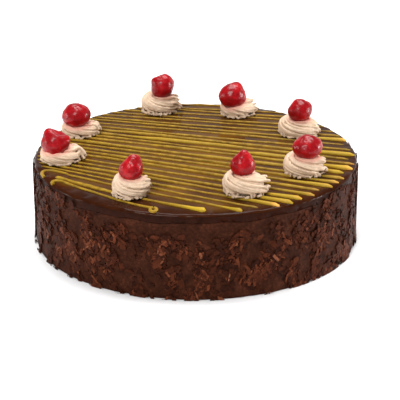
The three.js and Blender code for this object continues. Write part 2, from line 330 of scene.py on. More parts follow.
def shave(name, count, length, width, thick, bend, lean, slant, proud, gather, tone, faces, seed):
    """A handful of shavings of one kind on the cake's side, as one mesh."""
    draw = np.random.default_rng(seed)
    unit, unit_faces = flat_shaving(name, *faces)

    def between(low, high):
        return draw.uniform(low, high, count)

    long, wide, depth = between(*length), between(*width), between(*thick)
    # Ragged outlines: each corner's width differs, and the ends narrow.
    taper = 1 - between(0.1, 0.75)[:, None] * np.abs(2 * unit[None, :, 0]) ** 2
    ragged = draw.uniform(0.7, 1.25, (count, len(unit)))
    x = unit[None, :, 0] * long[:, None] * draw.uniform(0.9, 1.1, (count, len(unit)))
    y = unit[None, :, 1] * wide[:, None] * taper * ragged
    z = unit[None, :, 2] * depth[:, None] * draw.uniform(0.6, 1.2, (count, len(unit)))
    # Each shaving is bent along its length, cupped across it and twisted.
    curve = np.radians(between(*bend))[:, None] / long[:, None]
    curve = np.where(np.abs(curve) < 1e-4, 1e-4, curve)
    x, z = np.sin(curve * x) * (1 / curve - z), 1 / curve - np.cos(curve * x) * (1 / curve - z)
    z = z + between(-0.1, 0.12)[:, None] * y * y
    twist = np.radians(between(-25, 25))[:, None] * unit[None, :, 0]
    y, z = y * np.cos(twist) - z * np.sin(twist), z * np.cos(twist) + y * np.sin(twist)
    # Its place on the side: in clusters, more of them and looser towards the foot.
    turn = draw.uniform(0, 2 * math.pi, 4 * count)
    height = COAT_TOP * draw.beta(1.0, 1.12, 4 * count)
    rank = draw.uniform(0, 1, 4 * count)
    aside = np.degrees(np.arccos(np.clip(-np.sin(turn), -1, 1)))
    bare = np.interp(aside, BARE_FRONT, BARE_BAND)
    for i, (t, h) in enumerate(zip(turn, height)):
        spot = Vector((math.cos(t) * CLUSTERS, math.sin(t) * CLUSTERS, h * CLUSTER_STRETCH))
        rank[i] += gather * noise.noise(spot)
        rank[i] -= max(0, (h - bare[i]) / BARE_FADE + noise.noise(spot * 0.4))
    best = np.argsort(rank)[-count:]
    draw.shuffle(best)
    turn, height = turn[best], height[best]
    loose = 0.35 + 0.65 * np.clip((COAT_TOP - height) / STUCK_DEPTH, 0, 1)
    roll = np.radians(between(-slant, slant))
    pitch = np.radians(between(*lean)) * loose
    radial = np.stack([np.cos(turn), np.sin(turn), 0 * turn], 1)
    sideways = np.stack([-np.sin(turn), np.cos(turn), 0 * turn], 1)
    upright = np.zeros((count, 3)) + (0, 0, 1)
    ahead, beside = turned_vectors(upright, sideways, roll)
    ahead, outward = turned_vectors(ahead, radial, pitch)
    foot = SPONGE_RADIUS + SPONGE_FOOT * (1 - height / COAT_TOP) ** 2
    strewn = between(0, STREWN) * np.exp(-height / STREWN)
    foot = np.where(height > SHOULDER - 1.5, SKIRT_REACH, foot)
    middle = radial * (foot + between(*proud) * loose + strewn)[:, None]
    middle[:, 2] = height
    corners = (
        middle[:, None]
        + ahead[:, None] * x[..., None]
        + beside[:, None] * y[..., None]
        + outward[:, None] * z[..., None]
    ).reshape(-1, 3)
    reach = np.hypot(corners[:, 0], corners[:, 1])
    low = np.clip(1 - corners[:, 2] / FOOT_DEPTH, 0, 1)
    outermost = OUTERMOST + (FOOT_OUTERMOST - OUTERMOST) * low
    corners[:, :2] *= np.minimum(1, outermost / reach)[:, None]
    corners[:, 2] = np.clip(corners[:, 2], 0.15, COAT_TOP + 0.3)
    faces = (unit_faces[None] + len(unit) * np.arange(count)[:, None, None]).reshape(-1, 4)
    mesh = bpy.data.meshes.new(name)
    mesh.from_pydata((corners * MM).tolist(), [], faces.tolist())
    # The tone of each shaving: mostly dark, with some paler broken ones.
    low, high = tone
    shade = low + (high - low) * draw.beta(1.2, 2.4, count)[:, None]
    shade = shade + draw.uniform(-0.08, 0.08, (count, len(unit)))
    values = np.repeat(np.clip(shade, 0, 1).reshape(-1, 1), 4, 1)
    values[:, 3] = 1
    layer = mesh.color_attributes.new("tone", "FLOAT_COLOR", "POINT")
    layer.data.foreach_set("color", values.ravel())
    piece = bpy.data.objects.new(name, mesh)
    bpy.context.collection.objects.link(piece)
    alone(piece)
    bpy.ops.object.mode_set(mode="EDIT")
    bpy.ops.mesh.select_all(action="SELECT")
    bpy.ops.mesh.normals_make_consistent(inside=False)
    bpy.ops.object.mode_set(mode="OBJECT")
    bpy.ops.object.shade_smooth_by_angle(angle=math.radians(40))
    return piece


shaved, tree, shader = food_material(
    "shaved_chocolate", (0.05, 0.02, 0.012), Specular_IOR_Level=0.03
)
tone = tree.nodes.new("ShaderNodeAttribute")
tone.attribute_name = "tone"
stops = [
    (0.0, (0.019, 0.0056, 0.0028)),
    (0.3, (0.056, 0.0138, 0.0058)),
    (0.65, (0.115, 0.031, 0.0135)),
    (1.0, (0.24, 0.09, 0.046)),
]
tree.links.new(colour_ramp(tree, tone.outputs["Fac"], stops), shader.inputs["Base Color"])
scrapes = uneven(tree, 240, 1400, 0.5)
roughness = value_range(tree, scrapes.outputs["Mask"], 0.34, 0.6)
tree.links.new(roughness, shader.inputs["Roughness"])
bump(tree, shader, scrapes.outputs["Height"], 0.3)
for seed, (name, kind) in enumerate(SHAVINGS.items()):
    hand_over(shave(name, seed=40 + seed, **kind), shaved, "cake")

# ---- Glaze --------------------------------------------------------------------------------------
# Dark chocolate glaze poured over the chilled cake. It sets to a thin glossy cap that rounds
# over the rim and ends in a short skirt, level but not quite even.

TOP = 66
GLAZE_RADIUS = 125
GLAZE_ROUNDING = 2.6
GLAZE_SKIRT = 7
GLAZE_WALL = 2.4
GLAZE_DEPTH = 3
GLAZE_RINGS = 14
LIP_ROUNDING = 0.3  # at the skirt's lower edge
RIM_START = 121.4  # outside this radius the glaze has set in ripples ...
RIM_FADE = 2  # ... that are at their fullest this much further out
STEEP = 0.3  # where a face's normal rises less than this, the glaze is thin

glaze = start(
    "chocolate_glaze",
    bpy.ops.mesh.primitive_cylinder_add,
    vertices=288,
    radius=GLAZE_RADIUS * MM,
    depth=GLAZE_SKIRT * MM,
    location=(0, 0, (TOP - GLAZE_SKIRT / 2) * MM),
)
bpy.ops.object.transform_apply(location=True)
bpy.ops.object.mode_set(mode="EDIT")
pick(glaze, "FACE", lambda face: face.normal.z < -0.5)
bpy.ops.mesh.inset(thickness=GLAZE_WALL * MM)
bpy.ops.mesh.extrude_region_move(
    TRANSFORM_OT_translate={"value": (0, 0, (GLAZE_SKIRT - GLAZE_DEPTH) * MM)}
)
pick(glaze, "EDGE", lambda edge: min(v.co.z for v in edge.verts) > (TOP - 0.01) * MM)
bpy.ops.mesh.bevel(offset=GLAZE_ROUNDING * MM, segments=8)
lip = (TOP - GLAZE_SKIRT + 0.01) * MM
pick(glaze, "EDGE", lambda edge: max(v.co.z for v in edge.verts) < lip)
bpy.ops.mesh.bevel(offset=LIP_ROUNDING * MM, segments=3)
pick(glaze, "FACE", lambda face: len(face.verts) > 200 and face.normal.z > 0.5)
for ring in range(GLAZE_RINGS):
    bpy.ops.mesh.inset(thickness=(GLAZE_RADIUS - GLAZE_ROUNDING) / (GLAZE_RINGS + 0.5) * MM)
bpy.ops.object.mode_set(mode="OBJECT")
for corner in glaze.data.vertices:
    hang = max(0, (TOP - GLAZE_DEPTH) * MM - corner.co.z) / ((GLAZE_SKIRT - GLAZE_DEPTH) * MM)
    corner.co.z += hang * pour_line(corner.co.x, corner.co.y)
lumps(glaze, "pour", 34, 0.5)
at_the_rim = glaze.vertex_groups.new(name="rim")
for corner in glaze.data.vertices:
    rise = max(0, math.hypot(corner.co.x, corner.co.y) - RIM_START * MM)
    at_the_rim.add([corner.index], min(1, rise / (RIM_FADE * MM)), "REPLACE")
ripples = lumps(glaze, "ripples", 6, 1.5)
ripples.vertex_group = "rim"
ripples.mid_level = 0.62
close_up(glaze)


def tinted(tree, plain, attribute, colour):
    """A plain colour that goes over to another where an attribute of the mesh is high."""
    share = tree.nodes.new("ShaderNodeAttribute")
    share.attribute_name = attribute
    blend = tree.nodes.new("ShaderNodeMix")
    blend.data_type = "RGBA"
    blend.inputs["B"].default_value = (*colour, 1)
    tree.links.new(share.outputs["Fac"], blend.inputs["Factor"])
    tree.links.new(plain, blend.inputs["A"])
    return blend.outputs["Result"]


glazed, tree, shader = food_material(
    "chocolate_glaze", (0.055, 0.022, 0.012), Specular_IOR_Level=0.045, Coat_Weight=0.02,
    Coat_Roughness=0.05,
)
pour = uneven(tree, 45, 500, 0.25)
stops = [(0.0, (0.019, 0.0046, 0.0016)), (1.0, (0.039, 0.0105, 0.0034))]
bare = colour_ramp(tree, pour.outputs["Mask"], stops)
# Where the icing is piped, a film of its syrup has run out over the glaze.
filmed = tinted(tree, bare, "film", (0.121, 0.05, 0.0055))
tree.links.new(filmed, shader.inputs["Base Color"])
roughness = value_range(tree, pour.outputs["Mask"], 0.09, 0.16)
tree.links.new(roughness, shader.inputs["Roughness"])
bump(tree, shader, pour.outputs["Height"], 0.12)
hand_over(glaze, glazed, "glaze")

# Down the side the glaze is thin and has dulled on the frosting.
thin_glaze, tree, shader = food_material(
    "thin_glaze", (0.04, 0.011, 0.004), Roughness=0.4, Specular_IOR_Level=0.03
)
streaks = uneven(tree, 110, 700, 0.4)
stops = [(0.0, (0.013, 0.0038, 0.0019)), (1.0, (0.031, 0.0087, 0.0042))]
tree.links.new(colour_ramp(tree, streaks.outputs["Mask"], stops), shader.inputs["Base Color"])
bump(tree, shader, streaks.outputs["Height"], 0.5)
glaze.data.materials.append(thin_glaze)
for face in glaze.data.polygons:
    face.material_index = int(face.normal.z < STEEP)

# ---- Yellow icing -------------------------------------------------------------------------------
# Runs of golden icing piped fast to and fro across the glaze from a fine tip. They cling to it,
# swell where the hand slowed, and end in blobs, hooks and a small ring near the rim.

RUNS = 27
RUN_FIRST = -106  # how far before the middle the line of the first run lies ...
RUN_LAST = 117.5  # ... and how far behind it that of the last
RUN_UNEVEN = 0.07  # how far a run is off its line, as a share of the gap between two
FRONT_SHIFT = 2.5  # how much further to the front the foremost whole run lies
RUN_DIRECTION = -19.5  # degrees, through the middle ...
RUN_FAN = 0.09  # ... and how much that changes for each millimetre behind it
RUN_REACH = 122.2  # from the axis
RUN_STEPS = 64
RUN_BOW, BACK_BOW = 0.8, 0.9  # how far runs bow to the side, and how much more at the back
WOBBLE = 0.5  # the shake of the hand
DRIFT = 7  # how far the first runs start behind their line ...
DRIFT_RUNS = 5  # ... which wears off by this run ...
DRIFT_SHARE = 0.3  # ... and about this far along each of them
BEAD = 1.2  # half the width of a run
BEAD_LIFT = 0.12  # the height of its middle above the glaze
THIN, THICK = 1.4, 2.6  # between these half widths the icing turns paler
LEFT_SWELL, RIGHT_SWELL = 0.07, 0.11  # the shares of a run that its fuller ends take up

# How far a run goes past the flat of the glaze at its left and its right end, in millimetres,
# and how many times fuller it is there.
LEFT_ENDS = {1: (-2, 1.8), 2: (-19, 1), 3: (0, 1.1), 6: (0, 1.3), 22: (0, 1.4), 24: (0, 1.3)}
RIGHT_ENDS = {
    1: (-7, 2.2), 2: (0, 2.2), 3: (-3, 1.1), 4: (1.5, 1.6), 5: (2, 1.5), 6: (0, 2),
    7: (1, 1.9), 8: (-3, 1), 9: (1, 1.5), 10: (1, 1.9), 11: (1, 1.3), 12: (-3, 1.1),
    13: (1.3, 2), 14: (1, 1.2), 15: (-4, 1.1), 16: (1, 1.5), 17: (-1, 1.2), 18: (-4, 1),
    19: (1.2, 1.8), 20: (0, 1.1), 22: (0, 1.3),
}
# Stretches where the icing ran thicker: the run, the middle and half the length as shares of the
# run, and how many times fuller.
THICK_STRETCHES = [(15, 0.43, 0.17, 1.55), (14, 0.74, 0.06, 1.9), (16, 0.33, 0.12, 1.35)]
# How far the right ends of these runs have turned to orange, and how far in.
WARM_RUNS = {4: 0.9, 6: 0.2, 7: 0.2, 8: 0.2, 9: 0.15, 10: 0.4, 11: 0.2, 13: 0.65, 14: 0.3, 19: 0.5}
WARM_REACH = 4.5
# Icing given place by place: its places in plan and its half width at each. The first run starts
# in a hook and goes on to the ring, the second ends under a rosette, the third starts in another
# hook, and one drop fell by a rosette.
DRAWN = {
    "first_run": [
        (-105.2, -64.4, 1.4), (-106.2, -61.8, 1.5), (-105.2, -59.3, 1.35), (-102, -58.3, 1.2),
        (-98, -60.8, 1.2), (-91.2, -67.2, 1.05), (-84.4, -73.2, 0.95), (-76.8, -79.3, 1.0),
        (-69.1, -85.6, 0.9), (-62.4, -91.2, 1.0), (-52.2, -99.2, 0.95), (-43.9, -104.9, 1.0),
        (-35.7, -109.6, 1.1), (-30.4, -112.1, 1.3),
    ],
    "second_run": [
        (-94.8, -58.1, 1.0), (-89.3, -62.2, 1.2), (-83.9, -66.3, 1.1), (-77.6, -71.2, 1.0),
        (-71.5, -75.2, 1.05), (-66.2, -78.4, 0.95), (-59.4, -83.6, 0.9),
    ],
    "third_run_hook": [
        (-113.3, -49.6, 1.2), (-115, -45, 1.35), (-115.4, -40.8, 1.3), (-113.2, -37.4, 1.25),
        (-107.7, -37.4, 1.15), (-101.5, -40.8, 1.1), (-95.5, -44.8, 0.9),
    ],
    "drop": [(-95.8, -20, 1.0), (-94.2, -20.6, 1.9), (-92.6, -21.3, 1.0)],
}
DRAWN_STEPS = 6  # points from each place to the next
RING_MIDDLE = (-30, -115.2)
RING_RADIUS = 2.3
RING_STRETCH = 1.5  # it was drawn out towards the rim
RING_ARC = (100, 430)  # degrees where it starts and ends
RING_STEPS = 26
RING_BEAD = 1.3


def glaze_top(x, y):
    """The height of the glaze at a place in plan, in millimetres."""
    past = math.hypot(x, y) - (GLAZE_RADIUS - GLAZE_ROUNDING)
    if past <= 0:
        return TOP
    past = min(past, GLAZE_ROUNDING * 0.98)
    return TOP - GLAZE_ROUNDING + math.sqrt(GLAZE_ROUNDING**2 - past**2)


def swept(name, kind, points, radii):
    """A closed round bead on a POLY or NURBS spline through points, its half width at each."""
    curve = bpy.data.curves.new(name, "CURVE")
    curve.dimensions = "3D"
    spline = curve.splines.new(kind)
    spline.points.add(len(points) - 1)
    for node, point, radius in zip(spline.points, points, radii):
        node.co = (*(Vector(point) * MM), 1)
        node.radius = radius * MM
    if kind == "NURBS":
        spline.order_u = 4
        spline.use_endpoint_u = True
        spline.resolution_u = 5
        curve.twist_mode = "Z_UP"
    curve.use_fill_caps = True
    curve.bevel_depth = 1
    curve.bevel_resolution = 2
    bead = bpy.data.objects.new(name, curve)
    bpy.context.collection.objects.link(bead)
    alone(bead)
    bpy.ops.object.convert(target="MESH")
    return bpy.context.object


def joined(pieces, name):
    """Joins pieces to one, and names it."""
    bpy.ops.object.select_all(action="DESELECT")
    for piece in pieces:
        piece.select_set(True)
    bpy.context.view_layer.objects.active = pieces[0]
    bpy.ops.object.join()
    whole = bpy.context.object
    whole.name = whole.data.name = name
    return whole


def piped_line(name, points, radii):
    """A line of icing through points in plan, lying half sunk in the glaze."""
    lying = [(x, y, glaze_top(x, y) + BEAD_LIFT) for x, y in points]
    line = swept(name, "POLY", lying, radii)
    # How thick the icing lies, for its colour: the corners come ring by ring along the line.
    body = line.data.color_attributes.new("body", "FLOAT_COLOR", "POINT")
    around = len(line.data.vertices) // len(points)
    for i, colour in enumerate(body.data):
        ring = min(i // around, len(radii) - 1)
        thick = (max(radii[max(0, ring - 3) : ring + 4]) - THIN) / (THICK - THIN)
        colour.color = (min(1, max(0, thick)),) * 3 + (1,)
    return line


def run_line(run):
    """One run of the icing: its points from left to right, and its half width at each."""
    pitch = (RUN_LAST - RUN_FIRST) / (RUNS - 1)
    offset = RUN_FIRST + pitch * (run + RUN_UNEVEN * math.sin(5 * run))
    offset -= FRONT_SHIFT * (run == 1)
    direction = math.radians(RUN_DIRECTION + RUN_FAN * offset)
    along = Vector((math.cos(direction), math.sin(direction)))
    across = Vector((-along.y, along.x))
    half = math.sqrt(RUN_REACH**2 - offset**2)
    left, full_left = LEFT_ENDS.get(run, (0, 1))
    right, full_right = RIGHT_ENDS.get(run, (0, 1))
    points, radii = [], []
    for step in range(RUN_STEPS):
        share = step / (RUN_STEPS - 1)
        bow = RUN_BOW + BACK_BOW * max(0, offset) / RUN_LAST
        bow *= math.sin(4 * share + 2.4 * run) * math.sin(math.pi * share)
        wobble = WOBBLE * noise.noise(Vector((share * 14, run * 3.1, 0)))
        place = -(half + left) + (2 * half + left + right) * share
        drift = DRIFT * max(0, 1 - run / DRIFT_RUNS) * math.exp(-((share / DRIFT_SHARE) ** 2))
        points.append(along * place + across * (offset + bow + wobble + drift))
        # No two runs are as full, and none is even.
        full = 1.02 + 0.16 * math.sin(1.7 * run)
        full += 0.5 * noise.noise(Vector((share * 8, run * 5.3, 4)))
        # They are fullest over the middle, thinnest at the back, and fuller towards the right.
        full *= 0.76 + 0.27 * math.exp(-((offset / 62) ** 2)) - 0.13 * min(1, max(0, offset / 60))
        full *= 0.85 + 0.15 * min(1, 2 * share) + 0.16 * max(0, share - 0.5) * (offset < 70)
        full *= 1 + (full_left - 1) * math.exp(-((share / LEFT_SWELL) ** 2))
        full *= 1 + (full_right - 1) * math.exp(-(((1 - share) / RIGHT_SWELL) ** 2))
        for thick_run, middle, spread, times in THICK_STRETCHES:
            if run == thick_run:
                full *= 1 + (times - 1) * math.exp(-(((share - middle) / spread) ** 4))
        # The very ends are rounded off.
        end = min(share, 1 - share) * (2 * half) / (BEAD * 1.4)
        radii.append(BEAD * full * math.sqrt(min(1, 0.12 + end)))
    return points, radii


def ring_line():
    """The small ring: its points, and its half width at each."""
    first, last = RING_ARC
    x, y = RING_MIDDLE
    points = []
    for step in range(RING_STEPS):
        angle = math.radians(first + (last - first) * step / (RING_STEPS - 1))
        out = RING_STRETCH * RING_RADIUS * math.sin(angle)
        points.append(Vector((x + RING_RADIUS * math.cos(angle), y + out)))
    return points, [RING_BEAD] * RING_STEPS


def drawn_line(places):
    """Points and half widths on a smooth line through listed places."""
    knots = [Vector(place) for place in [places[0], *places, places[-1]]]
    smooth = []
    for before, first, last, after in zip(knots, knots[1:], knots[2:], knots[3:]):
        for step in range(DRAWN_STEPS):
            t = step / DRAWN_STEPS
            curved = (2 * before - 5 * first + 4 * last - after) * t * t
            curved += (3 * first - before - 3 * last + after) * t**3
            smooth.append(0.5 * (2 * first + (last - before) * t + curved))
    smooth.append(knots[-1])
    return [knot.xy for knot in smooth], [knot.z for knot in smooth]


# The first run is the one listed with the drawn icing.
beads = [piped_line(f"run_{run}", *run_line(run)) for run in range(1, RUNS)]
beads.append(piped_line("ring", *ring_line()))
beads += [piped_line(name, *drawn_line(places)) for name, places in DRAWN.items()]
icing = joined(beads, "yellow_icing")
close_up(icing)

warmth = icing.data.color_attributes.new("warmth", "FLOAT_COLOR", "POINT")
warm_ends = [(run_line(run)[0][-1], warm) for run, warm in WARM_RUNS.items()]
for corner, colour in zip(icing.data.vertices, warmth.data):
    plan = Vector(corner.co[:2]) / MM
    near = [warm * math.exp(-(((plan - end).length / WARM_REACH) ** 2)) for end, warm in warm_ends]
    colour.color = (max(near),) * 3 + (1,)

# The film round the runs, in patches on the glaze's own mesh. It starts at the first run, is
# thickest towards the middle and fades out at the rim.
FILM_SPREAD = 75
FILM_FORWARD = 15  # its middle lies this far in front of the cake's
FILM_PATCH = 0.035  # patches to each millimetre
film = glaze.data.color_attributes.new("film", "FLOAT_COLOR", "POINT")
front = math.radians(RUN_DIRECTION + RUN_FAN * RUN_FIRST)
for corner, colour in zip(glaze.data.vertices, film.data):
    x, y, z = corner.co / MM
    behind = y * math.cos(front) - x * math.sin(front) - RUN_FIRST
    inside = min(1, max(0, (behind + 3) / 8))
    inside *= min(1, max(0, (RUN_REACH - math.hypot(x, y)) / 9))
    thick = 0.2 + 0.55 * math.exp(-((x * x + (y + FILM_FORWARD) ** 2) / FILM_SPREAD**2))
    thick += 0.7 * noise.noise(Vector((x * FILM_PATCH, y * FILM_PATCH * 1.6, 3)))
    thick = min(1, max(0.08, thick))
    colour.color = (inside * thick * (z > TOP - 2),) * 3 + (1,)

golden, tree, shader = food_material(
    "golden_icing", (0.3, 0.2, 0.02), Roughness=0.35, Specular_IOR_Level=0.1,
    Subsurface_Weight=0.1, Subsurface_Scale=0.0015,
)
thin = uneven(tree, 150, 700, 0.3)
stops = [(0.0, (0.138, 0.077, 0.006)), (1.0, (0.362, 0.219, 0.02))]
plain = colour_ramp(tree, thin.outputs["Mask"], stops)
paler = tinted(tree, plain, "body", (0.41, 0.265, 0.019))
warmer = tinted(tree, paler, "warmth", (0.9, 0.4, 0.09))
tree.links.new(warmer, shader.inputs["Base Color"])
bump(tree, shader, thin.outputs["Height"], 0.15)
hand_over(icing, golden, "glaze")

# ---- Rosettes -----------------------------------------------------------------------------------
# Mocha buttercream piped through a star nozzle. The rope starts in the middle, goes round from
# the back by the left and over the front, and is pulled off to the right in a ragged tail.

# Each topping's angle and distance from the axis, the cream's width without its tail, its height,
# its rise behind the cherry, its tail and its turn, and the cherry's width, height, how far it is
# drawn to a point, how deep it is pressed in, its shift, and its lean with the side it leans to.
TOPPINGS = [
    (-118.6, 99.8, (25, 15.8, 0.16, 3, 5), (18.8, 20, 0.8, 4.3, (1.6, -0.5), 5, 20)),
    (-66.6, 89, (31, 15.8, 0.02, 4, -6), (18.8, 21, 0.95, 3.5, (-1.2, -1), 7, 20)),
    (-26.7, 91.5, (31, 14.8, 0.08, 3, -12), (22.8, 18, 0.15, 2.9, (1.8, -2), 4, 180)),
    (29.1, 94.4, (31.5, 14.2, 0.1, 1.5, -8), (20, 18.4, 0.25, 2.8, (0.7, -3), 14, 150)),
    (69.9, 101.6, (28, 13, 0.1, 2, 18), (22.6, 22.4, 0.45, 6.3, (-4.5, -5), 16, 20)),
    (106.6, 107.4, (28.5, 15.5, 0.13, 6, 0), (19.7, 22, 0.25, 4, (3.2, -2), 12, 10)),
    (153.8, 103.8, (28, 12, 0.1, 4, 14), (23.6, 19.4, 0.1, 4, (-1.6, -5), 10, 200)),
    (-171.7, 105.1, (29, 12, 0.1, 7.5, 26), (22.8, 21.4, 0.5, 6.6, (-2.9, -3), 18, 185)),
]
GLAZE_GAP = 0.3
ROPE_SHARE = 0.47  # half the rope's width as a share of the rosette's half width
FOOT_FLARE = 0.13  # how far the foot spreads on the glaze
CORE_DEPTH = 1.7  # how deep the core lies under the ridges
RIDGES = 26
RIDGE_FIRST = -50  # degrees round the rope where the lowest ridge starts
RIDGE_PITCH = 12  # degrees round it from each ridge to the next ...
RIDGE_HEIGHT = 14.5  # ... on a rosette of this height or more; lower ones have wider gaps
RIDGE_SLOPE = 2.1  # how far a ridge runs down round the rope, in radians
RIDGE_SIZE = 0.78  # half a ridge's width in millimetres
RIDGE_START = 60  # degrees in plan where the ridges start ...
RIDGE_END = 335  # ... and where they tear off
RIDGE_STEPS = 30
TAIL_PULL = Vector((0.55, 0.83, -0.2))  # which way the nozzle was pulled off ...
TAIL_LIFT = 0.35  # ... how much higher where the tail then bent down ...
TAIL_BEND = Vector((-0.05, -0.5, -0.85))  # ... and which way that was
TAIL_DROOP = [0, 0.15, 0.3, 0.2, 0.1, 0.4, 0.8, 1]  # how far each rosette's tail bent down
TORN_SHARES = (0.35, 0.65, 0.85, 1.0)  # the places of a torn end's points along it
SCRAPS = 34
SCRAPS_FROM, SCRAPS_ARC = 100, 260  # degrees in plan where they start, and go on for


def rosette_surface(cream, around, along, lift=0):
    """A point on the barrel that the ring of rope makes, seen from its own middle.

    around is the angle in plan, along the angle round the rope from outside over the crown."""
    width, height, rise, _, _ = cream
    rope = width / 2 * ROPE_SHARE
    out = width / 2 - rope + (rope + lift) * math.cos(along)
    up = height / 2 + (height / 2 + lift) * math.sin(along)
    back = out * math.sin(around) / (width / 2)
    out *= 1 + FOOT_FLARE * max(0, 1 - up / height) ** 2
    return Vector((out * math.cos(around), out * math.sin(around), up * (1 + rise * back)))


def rosette(number, angle, ring, cream, _):
    """One rosette: a plain core under the ridges that the nozzle's teeth leave, fused together."""
    draw = np.random.default_rng(70 + number)
    width, height, _, tail, turn = cream
    droops = TAIL_DROOP[number - 1]
    # The core is the rope without its ridges, lying round a heart that closes the middle.
    core = start(
        f"core_{number}",
        bpy.ops.mesh.primitive_torus_add,
        major_segments=40,
        minor_segments=20,
        major_radius=width / 2 * (1 - ROPE_SHARE) * MM,
        minor_radius=width / 2 * ROPE_SHARE * MM,
    )
    for corner in core.data.vertices:
        x, y, z = corner.co / MM
        along = math.atan2(z, math.hypot(x, y) - width / 2 * (1 - ROPE_SHARE))
        corner.co = rosette_surface(cream, math.atan2(y, x), along, -CORE_DEPTH) * MM
    heart = start(
        f"heart_{number}",
        bpy.ops.mesh.primitive_cylinder_add,
        vertices=24,
        radius=width * 0.33 * MM,
        depth=height * 0.55 * MM,
        location=(0, 0, height * 0.29 * MM),
    )
    # The tail is the last of the rope, pulled off to the right.
    rope = width / 2 * ROPE_SHARE
    thick = min(rope, height / 2) - CORE_DEPTH * 0.8
    points = []
    for degrees in (285, 310, RIDGE_END):
        around = math.radians(degrees)
        points.append(Vector((math.cos(around), math.sin(around), 0)) * (width / 2 - rope))
        points[-1].z = height * 0.46
    pull = (TAIL_PULL + Vector((0, 0, TAIL_LIFT * droops))) * (tail + 3)
    bend = TAIL_BEND * droops * (tail + 3)
    points += [points[-1] + pull * 0.5 + bend * 0.1, points[-1] + pull * 0.8 + bend * 0.5]
    radii = [thick, thick, thick, thick * 0.85, thick * 0.5]
    parts = [core, heart, swept(f"tail_{number}", "NURBS", points, radii)]
    # The ridges start behind the crown and slope down round the left and the front, until each
    # runs off the foot or tears off at the tail.
    first = math.radians(RIDGE_START)
    for ridge in range(RIDGES):
        pitch = RIDGE_PITCH * max(1, RIDGE_HEIGHT / height)
        starts = math.radians(RIDGE_FIRST + pitch * (ridge + draw.uniform(-0.2, 0.2)))
        last = math.radians(RIDGE_END + draw.uniform(-18, 10))
        slope = RIDGE_SLOPE * draw.uniform(0.85, 1.15)
        size = RIDGE_SIZE * draw.uniform(0.8, 1.2)
        ends = draw.uniform(-52, -22)  # degrees round the rope where it runs off
        points, radii = [], []
        for step in range(RIDGE_STEPS):
            share = step / (RIDGE_STEPS - 1)
            along = starts - slope * share**1.4
            if along > math.radians(150):
                continue
            if along < math.radians(ends):
                break
            wave = 0.3 * noise.noise(Vector((share * 5, ridge * 2.3, number)))
            around = first + (last - first) * share
            points.append(rosette_surface(cream, around, along, wave - size * 0.75))
            radii.append(size)
        if len(points) < 5:
            continue
        # The torn end goes on the way that the ridge was going, then thins and droops.
        tip = points[-1]
        heading = (tip - points[-3]).normalized()
        outward = Vector((tip.x, tip.y, 0)).normalized()
        if along < math.radians(ends):
            long = draw.uniform(1, 2.4)
            sweep = heading * 0.5 + outward * draw.uniform(0, 0.5)
            sweep.z = (0.7 - tip.z) / long
            swell = 1
            bend = Vector((0, 0, 0))
        else:
            long = draw.uniform(0.85, 1.1) * (tail + 3.5) * (1 - 0.12 * droops)
            bend = TAIL_BEND * droops * long
            sweep = heading + outward * draw.uniform(-0.05, 0.18)
            sweep.z = draw.uniform(-0.5, 0.05) + 0.4 * droops
            swell = 1.6
            radii[-4:] = [size * 1.12, size * 1.25, size * 1.4, size * 1.5]
        for share in TORN_SHARES:
            points.append(tip + sweep * long * share + bend * share**4)
            points[-1].z = max(points[-1].z, size)
        radii += [size * swell, size * swell, size * swell, size * swell * 0.7]
        parts.append(swept(f"ridge_{number}_{ridge}", "NURBS", points, radii))
    # Crumpled scraps of the ridges hang together along the foot.
    for scrap in range(SCRAPS):
        place = (scrap + draw.uniform(-0.4, 0.4)) / SCRAPS
        around = math.radians(SCRAPS_FROM + SCRAPS_ARC * place)
        ahead = math.radians(draw.uniform(5, 13))
        foot = math.radians(draw.uniform(-62, -30))
        points = []
        for share in (0, 0.5, 1.0):
            lift = draw.uniform(-0.9, 0.5)
            points.append(rosette_surface(cream, around + ahead * share, foot, lift))
            points[-1].z = draw.uniform(0.5, 0.5 + 0.14 * height)
        radii = list(draw.uniform(0.65, 1.15, len(points)))
        parts.append(swept(f"scrap_{number}_{scrap}", "NURBS", points, radii))
    piece = joined(parts, f"cream_rosette_{number}")
    # Nothing goes through the glaze.
    for corner in piece.data.vertices:
        corner.co.z = max(corner.co.z, 0.05 * MM)
    fused = piece.modifiers.new("fused", "REMESH")
    fused.mode = "VOXEL"
    fused.voxel_size = 0.4 * MM
    soft = piece.modifiers.new("soft", "SMOOTH")
    soft.factor = 0.5
    soft.iterations = 1
    lumps(piece, f"hand_{number}", 5, 0.7)
    close_up(piece)
    middle = Vector((math.cos(math.radians(angle)), math.sin(math.radians(angle)), 0)) * ring
    place = Matrix.Translation((middle.x * MM, middle.y * MM, (TOP + GLAZE_GAP) * MM))
    piece.matrix_world = place @ Matrix.Rotation(math.radians(turn), 4, "Z")
    bpy.ops.object.transform_apply(location=True, rotation=True, scale=True)
    return piece


def cherry_middle(angle, ring, cream, cherry):
    """The middle of a cherry, in metres."""
    _, tall, _, sink, shift, _, _ = cherry
    x = ring * math.cos(math.radians(angle)) + shift[0]
    y = ring * math.sin(math.radians(angle)) + shift[1]
    return Vector((x, y, TOP + GLAZE_GAP + cream[1] - sink + tall / 2)) * MM


buttercream, tree, shader = food_material(
    "mocha_buttercream", (0.7, 0.52, 0.38), Roughness=0.5, Specular_IOR_Level=0.35,
    Subsurface_Weight=0.12, Subsurface_Scale=0.0015,
)
shader.inputs["Subsurface Radius"].default_value = (1.0, 0.75, 0.55)
whipped = uneven(tree, 220, 1300, 0.4)
stops = [(0.0, (0.47, 0.33, 0.22)), (1.0, (0.64, 0.48, 0.345))]
plain = colour_ramp(tree, whipped.outputs["Mask"], stops)
blushed = tinted(tree, plain, "blush", (0.85, 0.36, 0.28))
tree.links.new(blushed, shader.inputs["Base Color"])
bump(tree, shader, whipped.outputs["Height"], 0.25)

